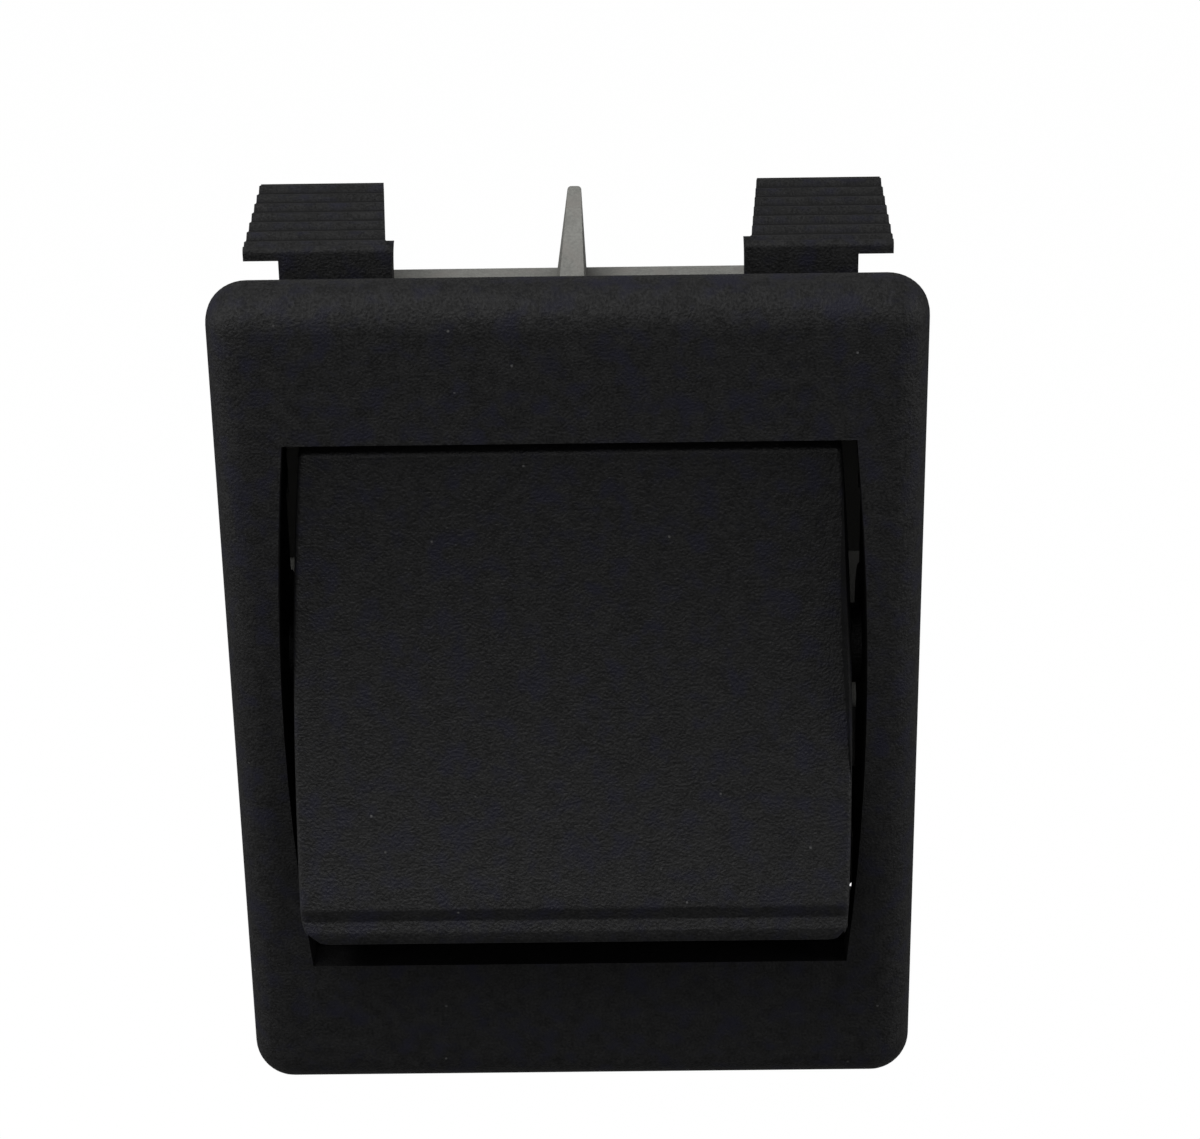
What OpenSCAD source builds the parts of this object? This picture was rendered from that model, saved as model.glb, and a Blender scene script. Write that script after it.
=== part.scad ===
// Two-pole panel rocker switch with a ratchet bezel.
// +X is to the right, +Y goes back into the panel, +Z is up. The origin is the middle of
// the bezel's rear face, which seats on the front of the panel.

/* [Bezel] */
// Width of the bezel
bezel_w = 25.2; // [24.6:0.1:27]
// Height of the bezel
bezel_h = 33; // [32.6:0.1:36]
// Thickness of the bezel in front of the panel
bezel_t = 1.6; // [1.5:0.1:2.2]
// Radius of the bezel's rounded front edge
bezel_edge_r = 1.4; // [0.8:0.1:1.4]
// Radius of the bezel's corners, seen from the front
bezel_corner_r = 1.5; // [1.5:0.1:3]
// Width of the window for the rocker, at its top and bottom
window_w = 20.15; // [19:0.05:20.4]
// How far each side of the window bows outwards in the middle
window_bow = 0.55; // [0.3:0.05:0.55]
// Height of the window for the rocker
window_h = 21.7; // [21:0.1:22.1]
// Thickness of the window's rim
window_rim = 1.4; // [1.2:0.1:1.4]

/* [Collar and panel] */
// Depth of the collar behind the panel's front face
collar_depth = 4.6; // [4.4:0.1:5.4]
// Thickness of the collar's side walls
collar_side_wall = 0.8; // [0.65:0.05:0.9]
// Thickness of the collar's top and bottom walls
collar_end_wall = 1.3; // [1:0.1:1.5]
// Width of the hole in the panel
cutout_w = 23.5; // [23.4:0.1:23.9]
// Height of the hole in the panel
cutout_h = 31.4; // [31.2:0.1:31.8]

/* [Ratchet wings] */
// Distance from the panel's front face to the wing's front lip
wing_front = 3.6; // [3:0.1:3.8]
// Length of a wing from its lip to its free end
wing_length = 7.4; // [5.5:0.1:8]
// Thickness of a wing under its teeth
wing_t = 0.3; // [0.25:0.05:0.6]
// Height of the lip above the edge of the panel's hole, before the wing is pressed in
wing_proud = 0.5; // [0.3:0.05:0.6]
// Drop of a wing from its lip to its free end
wing_drop = 0.2; // [0.1:0.05:0.8]
// Number of teeth on a wing
wing_teeth = 7; // [5:1:10]
// Height of a tooth
tooth_h = 0.17; // [0.12:0.01:0.25]
// Inner edge of a wing's lip, from the middle of the switch
wing_inner = 6.3; // [5.8:0.1:7]
// How far the inner edge slants outwards towards the free end
wing_slant = 0.7; // [0.2:0.05:1]
// Gap between a wing's outer edge and the side of the panel's hole
wing_side_gap = 0.15; // [0.1:0.05:0.3]
// How far a wing overhangs its post on the outside
wing_overhang = 1.25; // [0.8:0.05:1.6]
// Thickness of the post that carries a wing
post_t = 1; // [0.8:0.1:1.2]
// Radius of the fillet between post and wing
post_fillet = 0.8; // [0.4:0.1:1]

/* [Rocker] */
// Distance of the rocker's pivot behind the panel's front face
pivot_depth = 3.6; // [3.5:0.05:3.9]
// Tilt of the rocker on each side of its middle position, in degrees
rocker_tilt = 9; // [7:0.5:9]
// Gap between the rocker and the window on each side, where both are widest
rocker_side_gap = 0.5; // [0.45:0.01:0.6]
// How much narrower the rocker is at its upper end, on each side
rocker_taper = 0.4; // [0.3:0.05:0.5]
// Distance of the rocker's widest place below its pivot
rocker_widest = 3.5; // [2.5:0.1:4]
// How far to the left the rocker sits in its sideways play
rocker_play = 0.05; // [0:0.01:0.08]
// Gap between the rocker's ends and the window's rear edge
rocker_end_gap = 0.2; // [0.15:0.05:0.3]
// Height of the upper end over the bezel's face, in the middle position
upper_end_proud = 1.05; // [0.8:0.05:1.4]
// Height of the lower crest over the bezel's face, in the middle position
crest_proud = 1.75; // [1.4:0.05:2]
// Distance of the crest below the pivot
crest_drop = 7.4; // [6.8:0.1:7.8]
// Hollow of the face between the upper end and the crest
face_hollow = 0.9; // [0.4:0.05:1.1]
// Radius that rounds the crest
crest_r = 0.7; // [0.3:0.1:1]
// Depth of the finger ledge below the crest
ledge_depth = 2.1; // [1.5:0.05:2.3]
// Height of the finger ledge's sloping side
ledge_slope = 1.85; // [1.4:0.05:2]
// How far the lip at the end of the ledge stands up
lip_rise = 0.18; // [0.05:0.01:0.3]
// Radius of the rocker's lower corners
rocker_corner_r = 0.8; // [0.4:0.1:1.2]
// Wall thickness of the rocker
rocker_wall = 1.2; // [1:0.05:1.4]
// Diameter of the rocker's pivot pins
pivot_pin_d = 3; // [2.5:0.1:3.2]
// Radial clearance of the pivot pins in the collar
pivot_fit = 0.05; // [0.02:0.01:0.1]

/* [Housing] */
// Half height of the housing's front box
housing_half_h = 12.15; // [12:0.05:12.4]
// Width of the housing's front box
housing_w = 22.6; // [22:0.1:22.8]
// Chamfer of the front box's corners, seen from the front
housing_chamfer = 1.5; // [0.8:0.1:1.6]
// Wall thickness of the housing's top and bottom
housing_wall = 1.15; // [1:0.05:1.3]
// Wall thickness of the housing's sides
housing_side_wall = 1.9; // [1.8:0.1:2.1]
// Rear face of the housing's front box, behind the panel's front face
step_depth = 11.4; // [11:0.1:12]
// Floor thickness of the front box round the contact chamber
step_wall = 1; // [0.8:0.1:1.3]
// Gap between the contact chamber's sides and the terminals
chamber_side_gap = 1.2; // [1:0.1:1.4]
// Gap between the contact chamber's ends and the terminals' feet
chamber_end_gap = 0.4; // [0.3:0.05:0.7]
// Wall round the contact chamber
chamber_wall = 0.95; // [0.8:0.05:1]
// Thickness of the housing's rear wall
rear_wall = 2.5; // [2.2:0.1:3.5]
// Thickness of the barrier between the poles
barrier_t = 1; // [0.8:0.1:1.4]

/* [Centre fin] */
// Height of the fin on the top of the housing
fin_h = 3.3; // [2:0.1:3.4]
// Width of the fin at its root
fin_root_w = 1.1; // [1:0.1:1.8]
// Width of the fin at its tip
fin_tip_w = 0.5; // [0.4:0.05:0.9]
// Length of the fin's sloping front edge, measured front to back
fin_ramp = 3.4; // [2.5:0.1:4]
// Length of the fin's tip behind its slope
fin_land = 1.4; // [0.8:0.1:2]
// Rise of the fin's tip towards the rear
fin_tip_rise = 0.35; // [0:0.05:0.5]
// How far the fin's tip leans to the right
fin_lean = 0.15; // [0:0.05:0.25]
// Radius of the fin's tip corners
fin_tip_r = 0.15; // [0.05:0.05:0.15]

/* [Latches] */
// Width of a latch arm
latch_w = 3; // [2:0.1:4]
// Height of a latch arm above or below the pivot
latch_z = 7.6; // [6.5:0.1:8.5]
// Thickness of a latch arm
latch_t = 0.8; // [0.6:0.05:0.85]
// Reach of a latch arm behind the collar
latch_reach = 5; // [4:0.1:5.5]
// Height of a latch's hook
latch_hook = 0.45; // [0.3:0.05:0.5]
// Clearance round a latch
latch_clear = 0.1; // [0.05:0.01:0.15]

/* [Stems and plungers] */
// Distance of each pole from the middle of the switch
pole_x = 5; // [4.7:0.1:5.2]
// Diameter of a stem
stem_d = 4.2; // [4:0.1:4.6]
// Reach of a stem behind the pivot
stem_reach = 5; // [4.5:0.1:5.4]
// Diameter of a plunger
plunger_d = 2.4; // [2:0.1:2.6]
// Radial clearance of a plunger in its stem
plunger_fit = 0.05; // [0.02:0.01:0.1]
// Length of a plunger's guided part
plunger_guide = 3.6; // [3:0.1:4]
// Depth of the spring's seat in front of the pivot
spring_seat = 2.5; // [2:0.1:2.8]
// Wire diameter of the spring
spring_wire = 0.3; // [0.2:0.05:0.35]
// Number of turns of the spring
spring_turns = 6; // [4:1:8]

/* [Contacts] */
// Clearance between plunger and bridge in the middle position
plunger_gap = 0.05; // [0.03:0.01:0.1]
// Tilt of a bridge on each side of its middle position, in degrees
bridge_tilt = 6.5; // [6:0.1:7]
// Thickness of a bridge
bridge_t = 0.5; // [0.4:0.05:0.6]
// Width of a bridge
bridge_w = 4.2; // [3.8:0.1:4.4]
// Distance of a bridge's contacts from its pivot
contact_z = 6.2; // [6:0.05:6.3]
// How far a bridge reaches past the middle of its contacts
bridge_end = 1.5; // [1.4:0.05:1.6]
// Clearance of a bridge on the common terminal's nose
bridge_fit = 0.05; // [0.03:0.01:0.08]
// Length of a bridge's ears behind its rear face
ear_reach = 1.1; // [1:0.05:1.3]
// Diameter of a contact's head
contact_d = 2.8; // [2.4:0.1:3]
// Thickness of the straight part of a contact's head
contact_rim = 0.3; // [0.2:0.05:0.4]
// Height of a moving contact's crown
contact_crown = 0.3; // [0.2:0.05:0.4]
// Thickness of a fixed contact's head
fixed_head = 0.5; // [0.4:0.05:0.7]
// Diameter of a contact's rivet shank
shank_d = 1.4; // [1:0.1:1.6]
// Diameter of a contact's closed rivet end
rivet_d = 2; // [1.8:0.1:2.4]
// Height of a contact's closed rivet end
rivet_h = 0.3; // [0.2:0.05:0.4]
// Gap between closed contacts
closed_gap = 0.04; // [0.02:0.01:0.08]

/* [Terminals] */
// Width of a terminal blade
blade_w = 4.8; // [4.4:0.1:5]
// Thickness of a terminal blade
blade_t = 0.8; // [0.5:0.05:0.8]
// Length of a blade behind the housing
blade_reach = 6.4; // [5.5:0.1:8]
// Height of an outer blade's inner face above the middle
blade_z = 4.2; // [4:0.1:4.4]
// Height of a terminal's foot
foot_h = 3.7; // [3.5:0.05:3.8]
// Diameter of the wire hole in a blade
wire_hole_d = 1.6; // [1.2:0.1:1.8]
// Distance of the wire hole from the blade's tip
wire_hole_back = 2.9; // [2.4:0.1:3.4]
// Chamfer at a blade's tip
blade_chamfer = 0.7; // [0.4:0.1:1]
// Clearance of a blade in its slot
slot_fit = 0.05; // [0.02:0.01:0.1]

/* [Hidden] */

$fn = 64;
eps = 0.01;
through = 60;

BLACK = "#222224";
GREY = "#7c7d78";
BRASS = "#c9a85a";
TIN = "#b9bab6";
SILVER = "#d8d8d4";
STEEL = "#9a9ca0";

// Rocker, measured from its pivot: forwards is towards the finger
cavity_front = window_rim - bezel_t;
corner_reach = sqrt(pow(pivot_depth - cavity_front, 2) + pow(window_h / 2, 2));
rocker_end_r = corner_reach - rocker_end_gap;
face_at_pivot = pivot_depth + bezel_t;
upper_end = face_at_pivot + upper_end_proud;
upper_end_z = sqrt(pow(rocker_end_r, 2) - pow(upper_end, 2));
crest = face_at_pivot + crest_proud;
ledge = crest - ledge_depth;
ledge_z = crest_drop + ledge_slope;
lip = ledge + lip_rise;
lip_z = sqrt(pow(rocker_end_r, 2) - pow(lip, 2));
skirt = 1;
skirt_angle = atan2(sqrt(pow(rocker_end_r, 2) - pow(skirt, 2)), skirt);
top_angle = atan2(upper_end_z, upper_end);
lip_angle = atan2(lip_z, lip);
end_round = 0.3;
groove_r = 0.5;
pin_boss_wall = 1.1;
pin_boss_r = pivot_pin_d / 2 + pin_boss_wall;
pin_recess = 0.25;

// Bowed sides of the window and of the rocker
window_half_w = window_w / 2 + window_bow;
window_side_r = bow_radius(window_h / 2, window_bow);
rocker_half_w = window_half_w - rocker_side_gap;
rocker_side_r = bow_radius(upper_end_z + rocker_widest, rocker_taper);

// Collar
collar_step = 0.05;
collar_inner = window_half_w + collar_step;
collar_half_w = collar_inner + collar_side_wall;
cavity_gap = 0.35;
cavity_half_h = rocker_end_r + cavity_gap;
collar_half_h = cavity_half_h + collar_end_wall;
ear_wall = 1.5;
ear_r = pivot_pin_d / 2 + ear_wall;

// Wings
wing_top = cutout_h / 2 + wing_proud;
wing_outer = cutout_w / 2 - wing_side_gap;
lip_land = 0.4;
lip_round = 0.2;
tooth_pitch = (wing_length - lip_land) / wing_teeth;

// Plungers and contacts
plunger_r = plunger_d / 2;
stem_bore_r = plunger_r + plunger_fit;
plunger_back = stem_reach - plunger_guide;
plunger_out = 1.65;
plunger_dome = stem_reach + plunger_out;
plunger_tail = 0.8;
tail_gap = 0.3;
tail_r = plunger_r - spring_wire - tail_gap;
spring_length = spring_seat + plunger_back;
spring_fit = 0.05;
spring_r = stem_bore_r - spring_wire / 2 - spring_fit;
spring_steps = 16;
wire_sides = 6;
bridge_face = pivot_depth + plunger_dome + plunger_r + plunger_gap;
bridge_back = bridge_face + bridge_t;
nose_r = blade_t / 2;
nose_gap = 0.1;
nose_y = bridge_back + nose_r + nose_gap;
contact_face = bridge_back + contact_rim + contact_crown;
contact_throw = (contact_face - nose_y) * cos(bridge_tilt) + contact_z * sin(bridge_tilt);
fixed_face = nose_y + contact_throw + closed_gap;
foot_face = fixed_face + fixed_head;
foot_back = foot_face + blade_t;
housing_back = foot_back + rear_wall;
blade_tip = housing_back + blade_reach;
bridge_half_l = contact_z + bridge_end;
ear_half_h = 1.5;

// Housing
cavity_half_w = housing_w / 2 - housing_side_wall;
chamber_half_w = pole_x + blade_w / 2 + chamber_side_gap;
chamber_half_h = blade_z + foot_h + chamber_end_gap;
notch_half_h = ear_r + cavity_gap;
notch_depth = pivot_depth + ear_r + cavity_gap;
barrier_gap = 1;
pocket_gap = 0.2;
latch_inner = collar_half_w - latch_t;
latch_end = collar_depth + latch_reach;

function arc(centre, r, from, to, steps = 12) = [
    for (i = [0 : steps])
        let (a = from + (to - from) * i / steps)
            centre + r * [cos(a), sin(a)]
];

// Points that round a corner between the points before and after it
function corner(before, p, after, r, steps = 8) =
    let (
        u = (before - p) / norm(before - p),
        v = (after - p) / norm(after - p),
        half = acos(u * v) / 2,
        centre = p + (u + v) / norm(u + v) * r / sin(half),
        start = p + u * r / tan(half) - centre,
        end = p + v * r / tan(half) - centre,
        from = atan2(start[1], start[0]),
        turn = atan2(end[1], end[0]) - from
    )
    arc(centre, r, from, from + turn - 360 * round(turn / 360), steps);

// Points of a circle of the given sag through two points, bulging to the left of the way
function sagged(p, q, sag, steps = 24) =
    let (
        chord = norm(q - p),
        r = (pow(chord / 2, 2) + pow(sag, 2)) / (2 * sag),
        along = (q - p) / chord,
        left = [-along[1], along[0]],
        centre = (p + q) / 2 + left * (sag - r),
        half = asin(chord / 2 / r)
    )
    [
        for (i = [0 : steps])
            let (a = -half + 2 * half * i / steps)
                centre + r * (left * cos(a) + along * sin(a))
    ];

// Sweeps a YZ outline along X, from x0 to x1
module across(x0, x1) {
    translate([x0, 0, 0])
        rotate([90, 0, 90])
            linear_extrude(x1 - x0)
                children();
}

// Sweeps an XZ outline along Y, from y0 to y1
module backwards(y0, y1) {
    translate([0, y1, 0])
        rotate([90, 0, 0])
            linear_extrude(y1 - y0)
                children();
}

module box(x0, x1, y0, y1, z0, z1) {
    translate([x0, y0, z0])
        cube([x1 - x0, y1 - y0, z1 - z0]);
}

module rod_x(r, x0, x1, y, z) {
    translate([x0, y, z])
        rotate([0, 90, 0])
            cylinder(r = r, h = x1 - x0);
}

module rod_y(r, y0, y1, x, z) {
    translate([x, y0, z])
        rotate([-90, 0, 0])
            cylinder(r = r, h = y1 - y0);
}

// The same form on the right and on the left
module both_sides() {
    children();
    mirror([1, 0, 0])
        children();
}

// The same form at the top and at the bottom
module both_ends() {
    children();
    mirror([0, 0, 1])
        children();
}

// Radius of a side that draws in by the given amount at a distance from its widest place
function bow_radius(distance, amount) =
    (pow(distance, 2) + pow(amount, 2)) / (2 * amount);

// Front view of a window or rocker with bowed sides, widest at the height z
module bowed(half_w, half_h, side_r, z = 0) {
    intersection() {
        square([2 * half_w, 2 * half_h], center = true);
        translate([half_w - side_r, z])
            circle(r = side_r, $fn = 360);
        translate([side_r - half_w, z])
            circle(r = side_r, $fn = 360);
    }
}

// ---- frame ----

// Section of the bezel's edge: the panel side is the bottom, the front is the top
module edge_section(length) {
    square([length - bezel_edge_r, bezel_t]);
    square([length, bezel_t - bezel_edge_r]);
    intersection() {
        translate([length - bezel_edge_r, bezel_t - bezel_edge_r])
            circle(r = bezel_edge_r);
        square([length, bezel_t]);
    }
}

module bezel_plate() {
    straight_w = bezel_w - 2 * bezel_corner_r;
    straight_h = bezel_h - 2 * bezel_corner_r;
    rotate([90, 0, 0]) {
        for (x = [-1, 1], z = [-1, 1])
            translate([x * straight_w / 2, z * straight_h / 2, 0])
                rotate_extrude()
                    edge_section(bezel_corner_r);
        for (side = [0, 180])
            rotate([0, 0, side]) {
                translate([0, straight_h / 2, 0])
                    rotate([90, 0, 0])
                        linear_extrude(straight_h)
                            edge_section(bezel_w / 2);
                translate([-straight_w / 2, 0, 0])
                    rotate([90, 0, 90])
                        linear_extrude(straight_w)
                            edge_section(bezel_h / 2);
            }
    }
}

// Side view of a wing: lip at the front, teeth that lean to the rear
function wing_outline() =
    let (
        front = wing_front,
        slope = wing_drop / wing_length,
        first = front + lip_land,
        height = function(y) wing_top - tooth_h - slope * (y - front)
    )
    concat(
        arc([front + lip_round, wing_top - lip_round], lip_round, 180, 90, 6),
        [
            [first - tooth_h, wing_top],
            [first - tooth_h / 2, height(first)]
        ],
        [
            for (i = [0 : wing_teeth - 1])
                let (y = first + i * tooth_pitch)
                    each [
                        [y, height(y)],
                        [y + tooth_pitch * 0.3, height(y) + tooth_h],
                        [y + tooth_pitch * 0.9, height(y + tooth_pitch)]
                    ]
        ],
        [
            [front + wing_length, height(front + wing_length)],
            [front + wing_length, height(front + wing_length) - wing_t],
            [front, wing_top - tooth_h - wing_t]
        ]
    );

// The inner edge slants, and flares towards the post
module wing_plan() {
    end = wing_front + wing_length;
    flare = wing_slant / 4;
    polygon([
        [wing_inner, wing_front],
        [wing_outer, wing_front],
        [wing_outer, end],
        [wing_inner + wing_slant, end],
        [wing_inner + 1.5 * flare, wing_front + post_t],
        [wing_inner + flare, wing_front + post_t / 2]
    ]);
}

module post() {
    root_z = collar_half_h - eps;
    under = wing_top - tooth_h - wing_t;
    back = wing_front + post_t;
    across(wing_inner, wing_outer - wing_overhang)
        difference() {
            translate([wing_front, root_z])
                square([post_t + post_fillet, under - root_z + eps]);
            translate([back + post_fillet, under - post_fillet])
                circle(r = post_fillet);
            translate([back, root_z - eps])
                square([post_fillet + eps, under - post_fillet - root_z + eps]);
        }
}

module wing() {
    intersection() {
        across(wing_inner, wing_outer)
            polygon(wing_outline());
        translate([0, 0, collar_half_h])
            linear_extrude(bezel_h)
                wing_plan();
    }
    post();
}

module latch_arm() {
    hook_y = latch_end - 2 * latch_hook;
    translate([0, 0, latch_z - latch_w / 2])
        linear_extrude(latch_w)
            polygon([
                [latch_inner, collar_depth - 1],
                [collar_half_w, collar_depth - 1],
                [collar_half_w, latch_end],
                [latch_inner, latch_end],
                [latch_inner - latch_hook, hook_y],
                [latch_inner, hook_y]
            ]);
}

module frame() {
    color(BLACK)
        difference() {
            union() {
                bezel_plate();
                box(-collar_half_w, collar_half_w, -eps, collar_depth,
                    -collar_half_h, collar_half_h);
                both_sides() {
                    rod_x(ear_r, collar_inner - eps, collar_half_w, pivot_depth, 0);
                    both_ends() {
                        wing();
                        latch_arm();
                    }
                }
            }
            backwards(-through, cavity_front + eps)
                bowed(window_half_w, window_h / 2, window_side_r);
            box(-collar_inner, collar_inner, cavity_front, through,
                -cavity_half_h, cavity_half_h);
            rod_x(pivot_pin_d / 2 + pivot_fit, -through, through, pivot_depth, 0);
        }
}

// ---- rocker ----

// Turns a form about the pivot by an angle: positive tips its upper end back
module about_pivot(angle, y = pivot_depth) {
    translate([0, y, 0])
        rotate([-angle, 0, 0])
            translate([0, -y, 0])
                children();
}

// Side outline of the rocker in its middle position, seen from its pivot
function rocker_outline() =
    let (
        top = [-upper_end, upper_end_z],
        foot = [-crest, -crest_drop],
        groove = [-ledge, -ledge_z],
        end = [-lip, -lip_z],
        face = sagged(foot, top, -face_hollow),
        first = 3,
        last = len(face) - 3,
        round_angle = 3
    )
    concat(
        corner(groove, foot, face[first], crest_r),
        [for (i = [first : last]) face[i]],
        corner(face[last], top, top + [upper_end_z, upper_end], end_round),
        arc([0, 0], rocker_end_r, 180 - top_angle - round_angle, 180 - skirt_angle),
        arc([0, 0], rocker_end_r, 180 + skirt_angle, 180 + lip_angle + round_angle),
        corner(end + [lip_z, -lip], end, groove, end_round),
        corner(end, groove, foot, groove_r)
    );

module rocker_form() {
    translate([pivot_depth, 0])
        polygon(rocker_outline());
}

module rocker_hollow() {
    r = rocker_end_r - rocker_wall;
    face = (upper_end + crest) / 2 - face_hollow - rocker_wall;
    foot = ledge - rocker_wall;
    foot_z = ledge_z - rocker_wall / 2;
    translate([pivot_depth, 0])
        intersection() {
            circle(r = r);
            polygon([
                [-face, r], [skirt + eps, r],
                [skirt + eps, -r], [-foot, -r],
                [-foot, -foot_z], [-face, -crest_drop]
            ]);
        }
}

module stem() {
    rod_y(stem_d / 2, pivot_depth - ledge, pivot_depth + stem_reach, pole_x, 0);
}

module stem_bore() {
    rod_y(stem_bore_r, pivot_depth - spring_seat, through, pole_x, 0);
}

// Half width of the rocker at a height above or below its pivot
function rocker_half_at(z) =
    rocker_half_w - rocker_side_r + sqrt(pow(rocker_side_r, 2) - pow(z + rocker_widest, 2));

// Drum that rounds the rocker's corners at its upper end (side 1) or lower end (side -1)
module half_drum(side, corner_r) {
    flat_r = rocker_end_r - corner_r;
    flat_w = rocker_half_at(side * flat_r) - corner_r;
    rotate([0, 90, 0])
        rotate([0, 0, side * 90])
            rotate_extrude(angle = 180) {
                square([rocker_end_r, flat_w]);
                square([flat_r, rocker_half_w + eps]);
                translate([flat_r, flat_w])
                    circle(r = corner_r);
            }
}

module rocker_shell() {
    half_hollow = rocker_half_at(rocker_end_r) - rocker_wall;
    intersection() {
        union() {
            difference() {
                across(-rocker_half_w, rocker_half_w)
                    rocker_form();
                across(-half_hollow, half_hollow)
                    rocker_hollow();
            }
            both_sides()
                rod_x(pin_boss_r, half_hollow, rocker_half_w, pivot_depth, 0);
        }
        backwards(-through, through)
            bowed(rocker_half_w, rocker_end_r, rocker_side_r, -rocker_widest);
        translate([0, pivot_depth, 0])
            both_sides() {
                half_drum(1, end_round);
                half_drum(-1, rocker_corner_r);
            }
    }
}

// Puts a form that is drawn in the middle position on the tilted rocker
module on_rocker() {
    translate([-rocker_play, 0, 0])
        about_pivot(rocker_tilt)
            children();
}

module rocker() {
    color(BLACK)
        on_rocker()
            difference() {
                union() {
                    rocker_shell();
                    both_sides() {
                        stem();
                        rod_x(pivot_pin_d / 2, rocker_half_w - pin_boss_r / 2,
                            collar_half_w - pin_recess, pivot_depth, 0);
                    }
                }
                both_sides()
                    stem_bore();
            }
}

// ---- housing ----

module fin() {
    root = housing_half_h - eps;
    tip = housing_half_h + fin_h;
    slope_end = step_depth - fin_land;
    slope_foot = [slope_end - fin_ramp, root];
    slope_top = [slope_end, tip - fin_tip_rise];
    right = [fin_lean + fin_tip_w / 2, tip];
    left = [fin_lean - fin_tip_w / 2, tip];
    right_root = [fin_root_w / 2, root];
    left_root = [-fin_root_w / 2, root];
    intersection() {
        across(-fin_root_w, fin_root_w)
            polygon([slope_foot, [step_depth, root], [step_depth, tip + eps], slope_top]);
        backwards(0, step_depth)
            polygon(concat(
                [left_root, right_root],
                corner(right_root, right, left, fin_tip_r),
                corner(right, left, left_root, fin_tip_r)
            ));
    }
}

// Front box of the housing, with chamfered corners
module front_box() {
    reach = housing_w / 2 + housing_half_h - housing_chamfer;
    backwards(collar_depth, step_depth)
        intersection() {
            square([housing_w, 2 * housing_half_h], center = true);
            rotate(45)
                square(sqrt(2) * reach, center = true);
        }
}

module latch_recess() {
    half = latch_w / 2 + latch_clear;
    hook_y = latch_end - 2 * latch_hook;
    box(latch_inner - latch_clear, through, 0, latch_end + latch_clear,
        latch_z - half, latch_z + half);
    box(latch_inner - latch_hook - latch_clear, through, hook_y - latch_clear,
        latch_end + latch_clear, latch_z - half, latch_z + half);
}

module blade_slot(z) {
    box(pole_x - blade_w / 2 - slot_fit, pole_x + blade_w / 2 + slot_fit,
        foot_back - eps, through, z - slot_fit, z + blade_t + slot_fit);
}

module rivet_pocket() {
    rod_y(rivet_d / 2 + pocket_gap, foot_back - eps, foot_back + rivet_h + pocket_gap,
        pole_x, contact_z);
}

module housing() {
    color(GREY)
        difference() {
            union() {
                front_box();
                box(-chamber_half_w - chamber_wall, chamber_half_w + chamber_wall,
                    step_depth - eps, housing_back,
                    -chamber_half_h - chamber_wall, chamber_half_h + chamber_wall);
                fin();
            }
            difference() {
                union() {
                    box(-cavity_half_w, cavity_half_w, 0, step_depth - step_wall,
                        housing_wall - housing_half_h, housing_half_h - housing_wall);
                    box(-chamber_half_w, chamber_half_w, 0, foot_back,
                        -chamber_half_h, chamber_half_h);
                }
                box(-barrier_t / 2, barrier_t / 2,
                    pivot_depth + stem_reach + barrier_gap, through,
                    -housing_half_h, housing_half_h);
            }
            both_sides() {
                box(cavity_half_w - eps, through, 0, notch_depth,
                    -notch_half_h, notch_half_h);
                blade_slot(-blade_t / 2);
                both_ends() {
                    latch_recess();
                    blade_slot(blade_z);
                    rivet_pocket();
                }
            }
        }
}

// ---- plungers and springs ----

module plunger() {
    y0 = pivot_depth + plunger_back;
    y1 = pivot_depth + plunger_dome;
    color(TIN) {
        rod_y(plunger_r, y0, y1, pole_x, 0);
        translate([pole_x, y1, 0])
            sphere(r = plunger_r);
        rod_y(tail_r, y0 - plunger_tail, y0 + eps, pole_x, 0);
    }
}

// Ring of points round the wire where it has turned through an angle
function wire_ring(angle, along) =
    let (out = [cos(angle), 0, sin(angle)])
    [
        for (i = [0 : wire_sides - 1])
            let (a = 360 * i / wire_sides)
                out * (spring_r + spring_wire / 2 * cos(a))
                + [0, along + spring_wire / 2 * sin(a), 0]
    ];

module spring() {
    rings = spring_turns * spring_steps;
    rise = spring_length - spring_wire - 2 * eps;
    points = [
        for (k = [0 : rings])
            each wire_ring(k * 360 / spring_steps, rise * k / rings)
    ];
    sides = [
        for (k = [0 : rings - 1], i = [0 : wire_sides - 1])
            let (
                j = (i + 1) % wire_sides,
                a = k * wire_sides
            )
                [a + i, a + j, a + wire_sides + j, a + wire_sides + i]
    ];
    first = [for (i = [wire_sides - 1 : -1 : 0]) i];
    last = [for (i = [0 : wire_sides - 1]) rings * wire_sides + i];
    color(STEEL)
        translate([pole_x, pivot_depth - spring_seat + spring_wire / 2 + eps, 0])
            polyhedron(points, concat(sides, [first, last]), 4);
}

// ---- contacts ----

module on_bridge() {
    about_pivot(-bridge_tilt, nose_y)
        children();
}

module bridge() {
    slot = nose_r + bridge_fit;
    flare = 0.2;
    ear_end = bridge_back + ear_reach;
    x0 = pole_x - bridge_w / 2;
    x1 = pole_x + bridge_w / 2;
    color(BRASS)
        on_bridge()
            difference() {
                union() {
                    box(x0, x1, bridge_face, bridge_back, -bridge_half_l, bridge_half_l);
                    for (x = [x0, x1 - bridge_t])
                        box(x, x + bridge_t, bridge_face, ear_end, -ear_half_h, ear_half_h);
                }
                rod_x(slot, 0, through, nose_y, 0);
                across(0, through)
                    polygon([
                        [nose_y, slot],
                        [nose_y, -slot],
                        [ear_end + eps, -slot - flare],
                        [ear_end + eps, slot + flare]
                    ]);
                both_ends()
                    rod_y(shank_d / 2, 0, through, pole_x, contact_z);
            }
}

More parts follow.
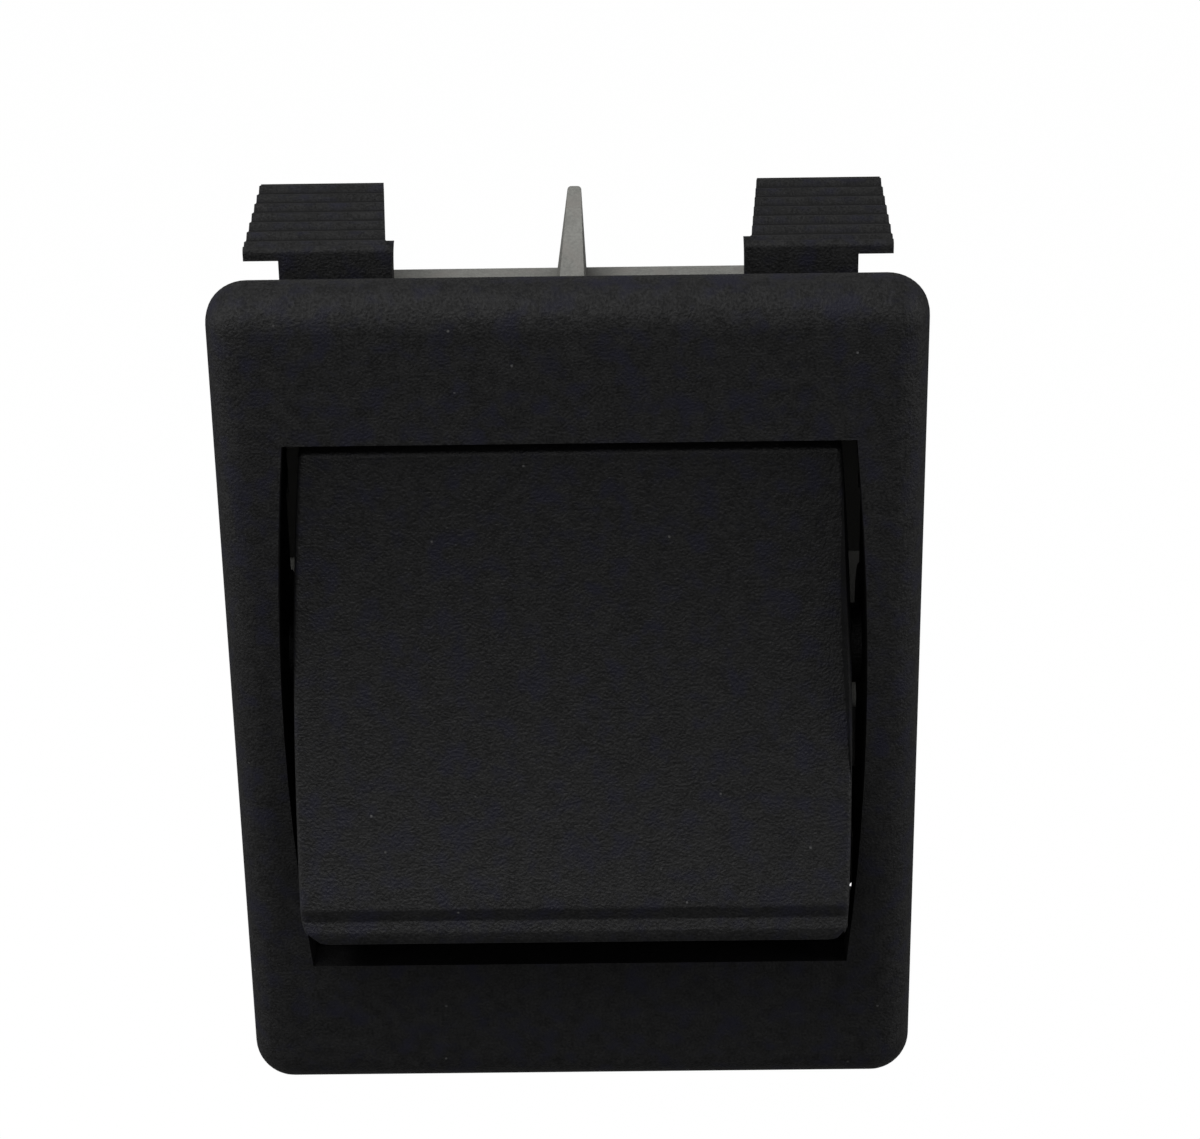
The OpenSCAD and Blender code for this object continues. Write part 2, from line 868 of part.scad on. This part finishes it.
// A rivet with a crowned head behind the bridge, closed in front of it
module moving_contact(side) {
    head = contact_d / 2;
    crown_r = (pow(head, 2) + pow(contact_crown, 2)) / (2 * contact_crown);
    color(SILVER)
        on_bridge()
            mirror([0, 0, side])
                translate([pole_x, 0, contact_z])
                    rotate([-90, 0, 0]) {
                        translate([0, 0, bridge_face - rivet_h])
                            cylinder(d = rivet_d, h = rivet_h);
                        translate([0, 0, bridge_face - eps])
                            cylinder(d = shank_d, h = bridge_t + 2 * eps);
                        translate([0, 0, bridge_back])
                            cylinder(d = contact_d, h = contact_rim);
                        intersection() {
                            translate([0, 0, contact_face - crown_r])
                                sphere(r = crown_r, $fn = 128);
                            translate([0, 0, bridge_back + contact_rim - eps])
                                cylinder(d = contact_d, h = 2 * contact_crown);
                        }
                    }
}

module fixed_contact(side) {
    color(SILVER)
        mirror([0, 0, side])
            translate([pole_x, 0, contact_z])
                rotate([-90, 0, 0]) {
                    translate([0, 0, fixed_face])
                        cylinder(d = contact_d, h = fixed_head);
                    translate([0, 0, foot_face - eps])
                        cylinder(d = shank_d, h = blade_t + 2 * eps);
                    translate([0, 0, foot_back])
                        cylinder(d = rivet_d, h = rivet_h);
                }
}

// ---- terminals ----

// Plan of a blade from y0 to its chamfered tip, with its wire hole
module blade_plan(y0) {
    half = blade_w / 2;
    c = blade_chamfer;
    difference() {
        polygon([
            [pole_x - half, y0],
            [pole_x + half, y0],
            [pole_x + half, blade_tip - c],
            [pole_x + half - c, blade_tip],
            [pole_x - half + c, blade_tip],
            [pole_x - half, blade_tip - c]
        ]);
        translate([pole_x, blade_tip - wire_hole_back])
            circle(d = wire_hole_d);
    }
}

// Side view of a blade that starts at y0, with its tip bevelled on both faces
module blade_side(y0) {
    bevel = blade_t / 4;
    polygon([
        [y0, 0],
        [blade_tip - 2 * bevel, 0],
        [blade_tip, bevel],
        [blade_tip, blade_t - bevel],
        [blade_tip - 2 * bevel, blade_t],
        [y0, blade_t]
    ]);
}

module blade(y0, z) {
    intersection() {
        translate([0, 0, z])
            across(pole_x - blade_w / 2, pole_x + blade_w / 2)
                blade_side(y0);
        translate([0, 0, z - blade_t])
            linear_extrude(3 * blade_t)
                blade_plan(y0);
    }
}

module outer_terminal(side) {
    color(TIN)
        mirror([0, 0, side])
            difference() {
                union() {
                    blade(foot_back - eps, blade_z);
                    across(pole_x - blade_w / 2, pole_x + blade_w / 2) {
                        intersection() {
                            translate([foot_back, blade_z + blade_t])
                                circle(r = blade_t);
                            translate([foot_face, blade_z])
                                square(blade_t);
                        }
                        translate([foot_face, blade_z + blade_t])
                            square([blade_t, foot_h - blade_t]);
                    }
                }
                rod_y(shank_d / 2, 0, through, pole_x, contact_z);
            }
}

module common_terminal() {
    color(TIN) {
        blade(nose_y, -blade_t / 2);
        rod_x(nose_r, pole_x - blade_w / 2, pole_x + blade_w / 2, nose_y, 0);
    }
}

module left() {
    mirror([1, 0, 0])
        children();
}

frame();
rocker();
housing();
on_rocker() left() plunger();  // plunger_left
on_rocker() plunger();  // plunger_right
on_rocker() left() spring();  // plunger_spring_left
on_rocker() spring();  // plunger_spring_right
left() bridge();  // bridge_left
bridge();  // bridge_right
left() moving_contact(0);  // upper_moving_contact_left
moving_contact(0);  // upper_moving_contact_right
left() moving_contact(1);  // lower_moving_contact_left
moving_contact(1);  // lower_moving_contact_right
left() fixed_contact(0);  // upper_fixed_contact_left
fixed_contact(0);  // upper_fixed_contact_right
left() fixed_contact(1);  // lower_fixed_contact_left
fixed_contact(1);  // lower_fixed_contact_right
left() outer_terminal(0);  // upper_terminal_left
outer_terminal(0);  // upper_terminal_right
left() common_terminal();  // common_terminal_left
common_terminal();  // common_terminal_right
left() outer_terminal(1);  // lower_terminal_left
outer_terminal(1);  // lower_terminal_right
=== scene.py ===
"""Panel rocker switch: materials, the rocker's softened shape, light and camera.

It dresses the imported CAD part. Y runs to the rear of the switch and Z up.
"""

import math

import bmesh
import bpy
from mathutils import Matrix, Vector


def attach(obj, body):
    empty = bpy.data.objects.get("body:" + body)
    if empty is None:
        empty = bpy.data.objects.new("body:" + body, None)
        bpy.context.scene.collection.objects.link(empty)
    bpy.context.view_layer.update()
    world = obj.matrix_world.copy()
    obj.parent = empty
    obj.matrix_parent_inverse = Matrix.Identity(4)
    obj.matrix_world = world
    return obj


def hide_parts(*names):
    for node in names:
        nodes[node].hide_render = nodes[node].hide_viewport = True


MM = 0.001

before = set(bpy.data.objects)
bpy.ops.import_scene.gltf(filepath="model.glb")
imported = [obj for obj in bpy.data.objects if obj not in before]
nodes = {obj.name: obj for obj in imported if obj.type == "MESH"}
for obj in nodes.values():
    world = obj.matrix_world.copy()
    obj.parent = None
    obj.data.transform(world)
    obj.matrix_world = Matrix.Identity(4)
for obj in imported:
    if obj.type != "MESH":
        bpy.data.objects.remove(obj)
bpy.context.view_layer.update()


# ---- node tree helpers ----

class Nodes:
    """Short calls for building a node tree."""

    def __init__(self, tree):
        self.tree = tree

    def node(self, kind, **settings):
        made = self.tree.nodes.new(kind)
        for key, value in settings.items():
            setattr(made, key, value)
        return made

    def link(self, source, target):
        self.tree.links.new(source, target)

    def calc(self, operation, a, b=0):
        """Math node whose inputs are numbers or other nodes' outputs."""
        made = self.node("ShaderNodeMath", operation=operation)
        for socket, value in zip(made.inputs, (a, b)):
            if isinstance(value, (int, float)):
                socket.default_value = value
            else:
                self.link(value, socket)
        return made.outputs[0]

    def span(self, source, low, high, to_low, to_high):
        """Stretch the range low..high to the range to_low..to_high, and clamp it there."""
        ramp = self.node("ShaderNodeMapRange")
        for key, value in (("From Min", low), ("From Max", high),
                           ("To Min", to_low), ("To Max", to_high)):
            ramp.inputs[key].default_value = value
        self.link(source, ramp.inputs["Value"])
        return ramp.outputs["Result"]


class Surface(Nodes):
    """Node tree of a material with a Principled shader, textured in the object's own metres."""

    def __init__(self, name):
        self.mat = bpy.data.materials.new(name)
        self.mat.use_nodes = True
        super().__init__(self.mat.node_tree)
        self.shader = self.tree.nodes["Principled BSDF"]
        self.coords = self.node("ShaderNodeTexCoord").outputs["Object"]

    def scaled(self, per_mm, stretch=(1, 1, 1)):
        """Object coordinates with this many texture units in a millimetre."""
        place = self.node("ShaderNodeMapping")
        place.inputs["Scale"].default_value = [per_mm / MM * s for s in stretch]
        self.link(self.coords, place.inputs["Vector"])
        return place.outputs["Vector"]

    def noise(self, per_mm, detail=3.0, stretch=(1, 1, 1)):
        tex = self.node("ShaderNodeTexNoise")
        tex.inputs["Scale"].default_value = 1.0
        tex.inputs["Detail"].default_value = detail
        self.link(self.scaled(per_mm, stretch), tex.inputs["Vector"])
        return tex.outputs["Fac"]

    def specks(self, spacing, radius):
        """Small round spots, about one in each cube of the given spacing: 1 inside a spot."""
        tex = self.node("ShaderNodeTexVoronoi")
        tex.inputs["Scale"].default_value = 1.0
        self.link(self.scaled(1 / spacing), tex.inputs["Vector"])
        edge = radius / spacing
        return self.span(tex.outputs["Distance"], edge * SPECK_CORE, edge * SPECK_RIM, 1, 0)

    def painted_recess_shade(self, reach, closed, clear):
        """Painted shade in narrow places, from ambient occlusion: 0 in a closed corner and 1 on a
        clear face.
        """
        cover = self.node("ShaderNodeAmbientOcclusion", samples=6)
        cover.inputs["Distance"].default_value = reach * MM
        return self.span(cover.outputs["AO"], closed, clear, 0, 1)

    def wing_ribs(self):
        """Soft ribs over the ratchet teeth: their height, and a mask for painted shade that is 0
        in the grooves between them.
        """
        place = self.node("ShaderNodeSeparateXYZ")
        self.link(self.coords, place.inputs[0])
        turn = self.calc("MULTIPLY", self.calc("SUBTRACT", place.outputs["Y"], RIB_PEAK * MM),
                         2 * math.pi / (RIB_PITCH * MM))
        wave = self.span(self.calc("COSINE", turn), -1, 1, 0, 1)
        on_wing = self.calc("GREATER_THAN", place.outputs["Z"], WING_LOW * MM)
        on_teeth = self.calc("GREATER_THAN", place.outputs["Y"], RIBS_FROM * MM)
        here = self.calc("MULTIPLY", on_wing, on_teeth)
        groove = self.calc("MULTIPLY", here, self.calc("SUBTRACT", 1, wave))
        return self.calc("MULTIPLY", here, wave), self.calc("SUBTRACT", 1, groove)

    def mix(self, factor, a, b):
        """Colour that goes from a to b, each a tuple or another node's output."""
        both = self.node("ShaderNodeMix", data_type="RGBA")
        self.link(factor, both.inputs["Factor"])
        for socket, value in ((both.inputs[6], a), (both.inputs[7], b)):
            if isinstance(value, tuple):
                socket.default_value = (*value, 1)
            else:
                self.link(value, socket)
        return both.outputs[2]

    def bump(self, height, depth, normal=None):
        made = self.node("ShaderNodeBump")
        made.inputs["Distance"].default_value = depth * MM
        made.inputs["Strength"].default_value = 1.0
        self.link(height, made.inputs["Height"])
        if normal:
            self.link(normal, made.inputs["Normal"])
        return made.outputs["Normal"]

    def finish(self, colour, roughness, normal):
        for key, value in (("Base Color", colour), ("Roughness", roughness),
                           ("Normal", normal)):
            self.link(value, self.shader.inputs[key])


# ---- materials ----

# Ribs of the upper wings
RIB_PITCH = 1.0
RIB_PEAK = 4.3          # Y of one rib's crest
RIBS_FROM = 4.0         # Y where the teeth start
WING_LOW = 13.5         # Z that only the wings rise above
RIB_HEIGHT = 0.11
# Painted shade in the grooves between the wing ribs, as a share of the dark colour
RIB_GROOVE_PAINTED_SHADE = 0.3  # of the dark colour

# Noise mostly lies between these two.
NOISE_LOW, NOISE_HIGH = 0.3, 0.7

# Moulded surface: grain and mottling, dust specks, and painted shade in narrow places
GRAIN = 0.10
BLOTCH_GRAINS, CAST_GRAINS = 5, 9
GRAIN_SHARE, BLOTCH_SHARE = 0.65, 0.35
MOTTLE_FROM, MOTTLE_TO = 0.38, 0.62
TINT_FROM, TINT_TO, TINT_MOST = 0.5, 0.68, 0.75
SPECK_SPACING, SPECK_R = 1.5, 0.05
SPECK_CORE, SPECK_RIM = 0.6, 1.2    # of the radius
# Painted shade: in narrow places the colour darkens towards this share of the dark colour, over
# this range of ambient occlusion
RECESS_PAINTED_SHADE = 0.4       # of the dark colour
PAINTED_SHADE_CLOSED, PAINTED_SHADE_CLEAR = 0.25, 0.8
ROUGHNESS_SWING = 0.07

# Metal surface
TARNISH_PER_MM = 0.35
SCRATCH_DEPTH = 0.004
SCRATCH_SHINE, SCRATCH_DULL = 0.08, 0.1


def darker(colour, share):
    return tuple(share * c for c in colour)


def moulded(name, dark, light, tint, dust, depth, roughness, specular, reach, ribs=False):
    """Spark-textured moulded plastic with faint mottling, a few specks of dust, painted shade in
    narrow places and, with ribs, painted shade in the rib grooves.
    """
    t = Surface(name)
    grain = t.noise(1 / GRAIN, 3)
    blotch = t.noise(1 / (BLOTCH_GRAINS * GRAIN), 3)
    cast = t.noise(1 / (CAST_GRAINS * GRAIN), 4)
    shade = t.calc("ADD", t.calc("MULTIPLY", grain, GRAIN_SHARE),
                   t.calc("MULTIPLY", blotch, BLOTCH_SHARE))
    colour = t.mix(t.span(shade, MOTTLE_FROM, MOTTLE_TO, 0, 1), dark, light)
    colour = t.mix(t.span(cast, TINT_FROM, TINT_TO, 0, TINT_MOST), colour, tint)
    colour = t.mix(t.specks(SPECK_SPACING, SPECK_R), colour, dust)
    # Painted shade: darker where ambient occlusion finds nearby surfaces
    colour = t.mix(t.painted_recess_shade(reach, PAINTED_SHADE_CLOSED, PAINTED_SHADE_CLEAR),
                   darker(dark, RECESS_PAINTED_SHADE), colour)
    normal = None
    if ribs:
        height, clear = t.wing_ribs()
        normal = t.bump(height, RIB_HEIGHT)
        # Painted shade in the grooves between the ribs
        colour = t.mix(clear, darker(dark, RIB_GROOVE_PAINTED_SHADE), colour)
    t.finish(colour,
             t.span(grain, NOISE_LOW, NOISE_HIGH,
                    roughness + ROUGHNESS_SWING, roughness - ROUGHNESS_SWING),
             t.bump(grain, depth, normal))
    t.shader.inputs["Specular IOR Level"].default_value = specular
    return t.mat


def metal(name, dark, light, roughness, stretch, scratch):
    """Rolled or plated metal: fine scratches along the grain and slight tarnish."""
    t = Surface(name)
    tarnish = t.noise(TARNISH_PER_MM, 5)
    lines = t.noise(1 / scratch, 2, stretch)
    t.finish(t.mix(t.span(tarnish, NOISE_LOW, NOISE_HIGH, 0, 1), dark, light),
             t.span(lines, NOISE_LOW, NOISE_HIGH,
                    roughness - SCRATCH_SHINE, roughness + SCRATCH_DULL),
             t.bump(lines, SCRATCH_DEPTH))
    t.shader.inputs["Metallic"].default_value = 1.0
    return t.mat


BLACK_DUST = (0.05, 0.05, 0.05)
BLACK = moulded("black_plastic", dark=(0.0020, 0.0020, 0.0021), light=(0.0104, 0.0104, 0.0106),
                tint=(0.0055, 0.0055, 0.0118), dust=BLACK_DUST,
                depth=0.06, roughness=0.6, specular=0.125, reach=3, ribs=True)
ROCKER = moulded("rocker_plastic", dark=(0.0016, 0.0016, 0.0017), light=(0.0080, 0.0080, 0.0082),
                 tint=(0.0042, 0.0042, 0.0098), dust=BLACK_DUST,
                 depth=0.06, roughness=0.54, specular=0.16, reach=3)
GREY = moulded("grey_plastic", dark=(0.128, 0.128, 0.119), light=(0.168, 0.168, 0.156),
               tint=(0.155, 0.148, 0.137), dust=(0.32, 0.32, 0.30),
               depth=0.014, roughness=0.6, specular=0.15, reach=6)
TIN = metal("tin_plate", (0.58, 0.58, 0.56), (0.72, 0.72, 0.70), 0.32, (1, 0.08, 1), 0.05)
BRASS = metal("brass", (0.62, 0.42, 0.16), (0.78, 0.58, 0.27), 0.3, (1, 1, 0.1), 0.05)
SILVER = metal("silver", (0.75, 0.74, 0.72), (0.86, 0.85, 0.83), 0.25, (1, 1, 1), 0.06)
STEEL = metal("spring_steel", (0.42, 0.42, 0.43), (0.56, 0.56, 0.57), 0.3, (1, 1, 1), 0.04)

# The first of these words that a node's name holds gives its material.
MATERIAL_BY_WORD = (("frame", BLACK), ("rocker", ROCKER), ("housing", GREY),
                    ("spring", STEEL), ("plunger", STEEL), ("terminal", TIN),
                    ("contact", SILVER), ("bridge", BRASS))

for name, obj in nodes.items():
    for slot in obj.material_slots:
        slot.material = next(material for word, material in MATERIAL_BY_WORD if word in name)


# ---- rocker: the same part as the CAD node, with softened edges and its own finger lip ----

# The rocker turns on the X axis at PIVOT_Y. At rest it is tilted with its lower end out.
PIVOT_Y = 3.6
TILT = 9                # degrees
END_R = 11.28           # upper end, round the pivot
REAR_R = 10.73          # lower end behind the lip, round the pivot
SKIRT = 1.0             # how far both ends reach behind the pivot, before the tilt
WALL = 1.2

# Side outline of the finger face and its lip, as (y, z) at rest
FACE_TOP = (-1.10, 10.27)
CREST = (-4.10, -6.78)
GROOVE = (-4.05, -7.28)
LIP_TOP = (-4.23, -7.66)
LIP_LOW = (-4.30, -7.99)
LIP_END = (-4.29, -8.13)
FACE_HOLLOW = 1.0
TOP_EDGE_R = 0.22
CREST_R = 0.28
GROOVE_R = 0.16
LIP_R = 0.4
LIP_END_R = 0.09
TOP_EDGE_BACK = 2       # degrees by which the upper end's arc stops short of the top edge
LIP_BACK = 242          # degrees where the lower end's arc starts, behind the lip

# Front outline: gently bowed sides, with the two lower corners rounded
HALF_W = 10.16
WIDEST_Z = -2.0
SIDE_R = 130.5
EDGE_R = 0.22
LEFT_CORNER_R, RIGHT_CORNER_R = 0.85, 0.5
PLAY = -0.06            # sits this much to the left in its window
SKEW = 0.007            # and leans to the right by this much per mm of height

# Hollow behind the face: degrees on its end arcs, and (y, z) on the back of the face
HOLLOW_UPPER = (100, 110)
HOLLOW_LOWER = (245, 255)
FACE_BACK = ((0.4, 3.0), (-1.2, -2.5))
CREST_BACK_UP = 0.5

# Points along each run
UPPER_STEPS, FACE_STEPS, LOWER_STEPS = 12, 40, 10
FILLET_STEPS, EDGE_STEPS = 6, 5
FACE_TRIM = 2           # face points given up at each end for the rounded edges

# Stems that hold the plungers, and pivot pins; half sections as (radius, height)
INNER_SHIFT = -0.05     # they sit this much to the left with the rocker
STEM_X = 5
STEM_FOOT = -4.85
STEM = ((0, 0), (2.1, 0), (2.1, 9.85), (1.25, 9.85), (1.25, 2.35), (0, 2.35))
PIN_X = 9.3
PIN = ((0, 0), (1.5, 0), (1.5, 1.6), (1.35, 1.75), (0, 1.75))
TURNED_STEPS = 40

SHARP_FROM = 40         # degrees between faces
WELD = 1e-4


def from_pivot(radius, angle):
    """Point (y, z) of a circle round the pivot: 90 degrees is up, 180 is to the front."""
    a = math.radians(angle)
    return (PIVOT_Y + radius * math.cos(a), radius * math.sin(a))


def angle_of(point):
    return math.degrees(math.atan2(point[1], point[0] - PIVOT_Y)) % 360


SKIRT_ANGLE = math.degrees(math.acos(SKIRT / END_R))
UPPER_SKIRT = SKIRT_ANGLE - TILT
LOWER_SKIRT = 360 - SKIRT_ANGLE - TILT


def arc(radius, start, end, steps):
    """Points of an arc round the pivot, from one angle to the other."""
    return [from_pivot(radius, start + i * (end - start) / steps) for i in range(steps + 1)]


def fillet(before, corner, after, radius):
    """Points of the rounding that joins two straight runs at a corner."""
    c = Vector(corner)
    to_before = (Vector(before) - c).normalized()
    to_after = (Vector(after) - c).normalized()
    half = to_before.angle(to_after) / 2
    back = radius / math.tan(half)
    centre = c + (to_before + to_after).normalized() * radius / math.sin(half)
    start = c + to_before * back - centre
    end = c + to_after * back - centre
    turn = start.angle_signed(end)
    return [tuple(centre + Matrix.Rotation(-turn * i / FILLET_STEPS, 2) @ start)
            for i in range(FILLET_STEPS + 1)]


def hollow_face(top, foot, sag, steps):
    """Shallow arc of the finger face, hollow towards the rear."""
    top, foot = Vector(top), Vector(foot)
    along = foot - top
    rear = Vector((-along.y, along.x)).normalized()
    radius = (along.length ** 2 / 4 + sag ** 2) / (2 * sag)
    points = []
    for i in range(steps + 1):
        t = i / steps
        off = (t - 0.5) * along.length
        depth = math.sqrt(radius ** 2 - off ** 2) - (radius - sag)
        points.append(tuple(top + along * t + rear * depth))
    return points


def outer_profile():
    """Side outline at rest as (y, z), from the upper skirt over the face to the lower skirt."""
    upper = arc(END_R, UPPER_SKIRT, angle_of(FACE_TOP) - TOP_EDGE_BACK, UPPER_STEPS)
    face = hollow_face(FACE_TOP, CREST, FACE_HOLLOW, FACE_STEPS)[FACE_TRIM:]
    lower = arc(REAR_R, LIP_BACK, LOWER_SKIRT, LOWER_STEPS)
    return (upper
            + fillet(upper[-1], FACE_TOP, face[0], TOP_EDGE_R)
            + face[:-FACE_TRIM]
            + fillet(face[-FACE_TRIM - 1], CREST, GROOVE, CREST_R)
            + fillet(CREST, GROOVE, LIP_TOP, GROOVE_R)
            + fillet(GROOVE, LIP_TOP, LIP_LOW, LIP_R)
            + fillet(LIP_LOW, LIP_END, lower[0], LIP_END_R)
            + lower)


def inner_profile():
    """Side outline of the hollow as (y, z), in the same order."""
    return ([from_pivot(END_R - WALL, a) for a in (UPPER_SKIRT, *HOLLOW_UPPER)]
            + [(FACE_TOP[0] + WALL, FACE_TOP[1] - 2 * WALL), *FACE_BACK,
               (CREST[0] + WALL, CREST[1] + CREST_BACK_UP),
               (CREST[0] + 2 * WALL, LIP_END[1])]
            + [from_pivot(REAR_R - WALL, a) for a in (*HOLLOW_LOWER, LOWER_SKIRT)])


def outward(profile):
    """Unit vector out of the rocker at each point of the outline."""
    last = len(profile) - 1
    normals = []
    for i in range(len(profile)):
        along = Vector(profile[min(i + 1, last)]) - Vector(profile[max(i - 1, 0)])
        along.normalize()
        normals.append(Vector((along.y, -along.x)))
    return normals


def half_width(z, corner_r):
    """Half width at a height, drawn in to round the lower corner."""
    wide = HALF_W - SIDE_R + math.sqrt(SIDE_R ** 2 - (z - WIDEST_Z) ** 2)
    drop = min(max(LIP_END[1] + corner_r - z, 0), corner_r)
    return wide - corner_r + math.sqrt(corner_r ** 2 - drop ** 2)


def vertex(bm, x, y, z):
    """Vertex of the hull, moved and skewed as the rocker sits in its window."""
    return bm.verts.new((x + PLAY + SKEW * z, y, z))


def rocker_hull(bm):
    """Outer skin with rounded side edges, and the hollow behind it, open to the rear."""
    outline = outer_profile()
    normals = outward(outline)
    sweep = [math.pi / 2 * k / EDGE_STEPS for k in range(EDGE_STEPS + 1)]
    outside = []
    for side, corner_r, angles in ((-1, LEFT_CORNER_R, sweep[::-1]),
                                   (1, RIGHT_CORNER_R, sweep)):
        for angle in angles:
            column = []
            for point, normal in zip(outline, normals):
                y, z = Vector(point) - normal * EDGE_R * (1 - math.cos(angle))
                x = half_width(z, corner_r) - EDGE_R * (1 - math.sin(angle))
                column.append(vertex(bm, side * x, y, z))
            outside.append(column)
    inside = [[vertex(bm, side * (half_width(z, LEFT_CORNER_R) - WALL), y, z)
               for y, z in inner_profile()] for side in (-1, 1)]
    for skin in (outside, inside):
        for left, right in zip(skin, skin[1:]):
            for i in range(len(left) - 1):
                bm.faces.new((left[i], left[i + 1], right[i + 1], right[i]))

    low, high = inside
    for end in (0, -1):
        bm.faces.new([column[end] for column in outside] + [high[end], low[end]])
    bm.faces.new((outside[0][0], outside[0][-1], low[-1], low[0]))
    bm.faces.new((outside[-1][0], outside[-1][-1], high[-1], high[0]))
    caps = [bm.faces.new(edge) for edge in (outside[0], outside[-1], low, high)]
    bmesh.ops.triangulate(bm, faces=caps)


def lathe(bm, matrix, section):
    """Turned form round +Z from its half section, which runs from axis to axis."""
    rings = []
    for i in range(TURNED_STEPS):
        a = 2 * math.pi * i / TURNED_STEPS
        rings.append([bm.verts.new(matrix @ Vector((r * math.cos(a), r * math.sin(a), h)))
                      for r, h in section])
    for here, there in zip(rings, rings[1:] + rings[:1]):
        for j in range(len(section) - 1):
            bm.faces.new((here[j], here[j + 1], there[j + 1], there[j]))


def rocker_piece():
    bm = bmesh.new()
    rocker_hull(bm)
    tilted = (Matrix.Translation((0, PIVOT_Y, 0))
              @ Matrix.Rotation(math.radians(-TILT), 4, "X"))
    backwards = Matrix.Rotation(math.radians(-90), 4, "X")
    for side in (-1, 1):
        place = Matrix.Translation((side * STEM_X + INNER_SHIFT, STEM_FOOT, 0))
        lathe(bm, tilted @ place @ backwards, STEM)
    for side in (-1, 1):
        place = Matrix.Translation((side * PIN_X + INNER_SHIFT, 0, 0))
        sideways = Matrix.Rotation(side * math.radians(90), 4, "Y")
        lathe(bm, tilted @ place @ sideways, PIN)
    bmesh.ops.remove_doubles(bm, verts=bm.verts, dist=WELD)
    bmesh.ops.recalc_face_normals(bm, faces=bm.faces)
    bmesh.ops.scale(bm, vec=(MM, MM, MM), verts=bm.verts)
    mesh = bpy.data.meshes.new("rocker_cap")
    bm.to_mesh(mesh)
    bm.free()
    mesh.shade_smooth()
    mesh.set_sharp_from_angle(angle=math.radians(SHARP_FROM))
    mesh.materials.append(ROCKER)
    obj = bpy.data.objects.new("rocker_cap", mesh)
    bpy.context.scene.collection.objects.link(obj)
    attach(obj, "rocker")
    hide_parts("rocker")


rocker_piece()


# ---- floor and world: white to the camera, dim to the object ----

FLOOR_Z = -60
FLOOR_REACH = 2000
FLOOR_GLOW = 1.025
FLOOR_CAMERA_SHARE = 0.97   # the rest stays matte and keeps the shadow
FLOOR_GREY = 0.2
WORLD_LIGHT = 0.16
WORLD_MIRRORED = 0.28       # share of the white that shiny surfaces reflect


def studio_white(name):
    """Pale surface that shows as white to the camera but still keeps a faint shadow."""
    mat = bpy.data.materials.new(name)
    mat.use_nodes = True
    mat.node_tree.nodes.clear()
    t = Nodes(mat.node_tree)
    path = t.node("ShaderNodeLightPath")
    matte = t.node("ShaderNodeBsdfDiffuse")
    matte.inputs["Color"].default_value = (FLOOR_GREY, FLOOR_GREY, FLOOR_GREY, 1)
    glow = t.node("ShaderNodeEmission")
    glow.inputs["Strength"].default_value = FLOOR_GLOW
    mix = t.node("ShaderNodeMixShader")
    t.link(t.calc("MULTIPLY", path.outputs["Is Camera Ray"], FLOOR_CAMERA_SHARE),
           mix.inputs[0])
    t.link(matte.outputs[0], mix.inputs[1])
    t.link(glow.outputs[0], mix.inputs[2])
    t.link(mix.outputs[0], t.node("ShaderNodeOutputMaterial").inputs["Surface"])
    return mat


def floor_piece():
    reach = FLOOR_REACH * MM
    corners = [(x * reach, y * reach, FLOOR_Z * MM)
               for x, y in ((-1, -1), (1, -1), (1, 1), (-1, 1))]
    mesh = bpy.data.meshes.new("floor")
    mesh.from_pydata(corners, [], [(0, 1, 2, 3)])
    mesh.materials.append(studio_white("floor_white"))
    obj = bpy.data.objects.new("floor", mesh)
    bpy.context.scene.collection.objects.link(obj)


def studio_world():
    """White where the camera sees it, dimmer in reflections and dimmer still as a light."""
    world = bpy.data.worlds.new("studio")
    bpy.context.scene.world = world
    world.use_nodes = True
    back = world.node_tree.nodes["Background"]
    back.inputs["Color"].default_value = (1, 1, 1, 1)
    t = Nodes(world.node_tree)
    path = t.node("ShaderNodeLightPath")
    mirrored = t.calc("MAXIMUM", path.outputs["Is Glossy Ray"],
                      path.outputs["Is Transmission Ray"])
    white = t.calc("MAXIMUM", path.outputs["Is Camera Ray"],
                   t.calc("MULTIPLY", mirrored, WORLD_MIRRORED))
    t.link(t.span(white, 0, 1, WORLD_LIGHT, 1), back.inputs["Strength"])


floor_piece()
studio_world()


# ---- lamps: name, place and size in mm, power in W; all aim at the middle of the switch ----

LAMPS = (("front_top", (-45, -75, 135), (100, 80), 0.26),
         ("front_low", (-20, -200, 85), (90, 70), 0.10),
         ("left_fill", (-200, -10, 40), (100, 120), 0.21),
         ("right_fill", (200, -20, 40), (100, 120), 0.26),
         ("overhead", (0, 90, 170), (160, 80), 0.05))

for name, at, size, power in LAMPS:
    light = bpy.data.lights.new(name, "AREA")
    light.shape = "RECTANGLE"
    light.size, light.size_y = (length * MM for length in size)
    light.energy = power
    obj = bpy.data.objects.new(name, light)
    obj.location = Vector(at) * MM
    obj.rotation_euler = (-Vector(at)).to_track_quat("-Z", "Y").to_euler()
    obj.visible_camera = False
    bpy.context.scene.collection.objects.link(obj)


# ---- camera, at the photograph's viewing angle ----

CAMERA_AT = (2.15, -112.40, 62.88)
PITCH, YAW, ROLL = 27.22, 0.59, -0.94   # degrees
LENS, SENSOR = 105, 36
NEAR = 5

view = bpy.data.cameras.new("camera")
view.lens = LENS
view.sensor_width = SENSOR
view.clip_start = NEAR * MM
camera = bpy.data.objects.new("camera", view)
turn = (Matrix.Rotation(math.radians(YAW), 4, "Z")
        @ Matrix.Rotation(math.radians(90 - PITCH), 4, "X")
        @ Matrix.Rotation(math.radians(ROLL), 4, "Z"))
camera.matrix_world = Matrix.Translation(Vector(CAMERA_AT) * MM) @ turn
bpy.context.scene.collection.objects.link(camera)
bpy.context.scene.camera = camera
bpy.context.scene.view_settings.view_transform = "Standard"
